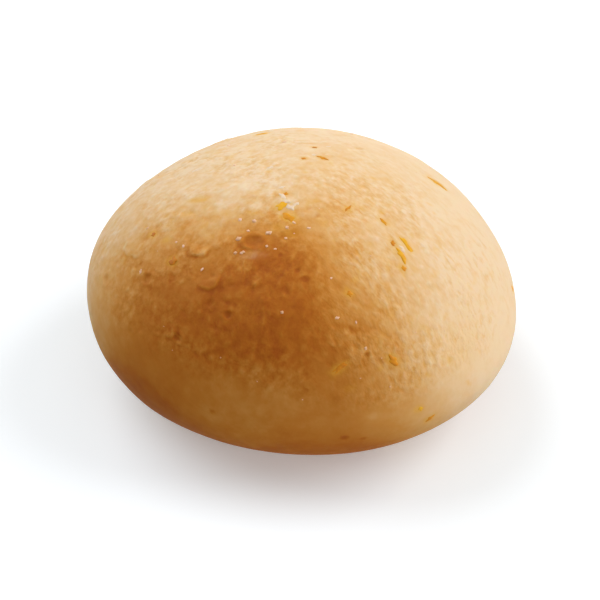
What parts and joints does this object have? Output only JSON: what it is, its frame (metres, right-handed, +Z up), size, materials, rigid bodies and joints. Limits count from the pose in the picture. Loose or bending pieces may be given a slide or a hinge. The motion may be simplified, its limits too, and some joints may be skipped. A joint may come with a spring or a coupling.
{
  "type": "pao de queijo cheese ball",
  "caption": "Small round cheese bread with a softly pointed, browned crown, pale smooth sides and a flat base that it stands on.",
  "frame": {"origin": "middle of the flat base, on the surface the roll stands on", "axes": "+Z up through the crown, -Y towards the browned front flank, +X towards the pale right flank"},
  "size_m": [0.0556, 0.0558, 0.029],
  "materials": {
    "crust": "dry baked tapioca crust: pale cream-gold, browned on the crown, finely crackled, with melted cheese flecks"
  },
  "bodies": {
    "root": {"cheese_bread": "crust"}
  },
  "joints": []
}
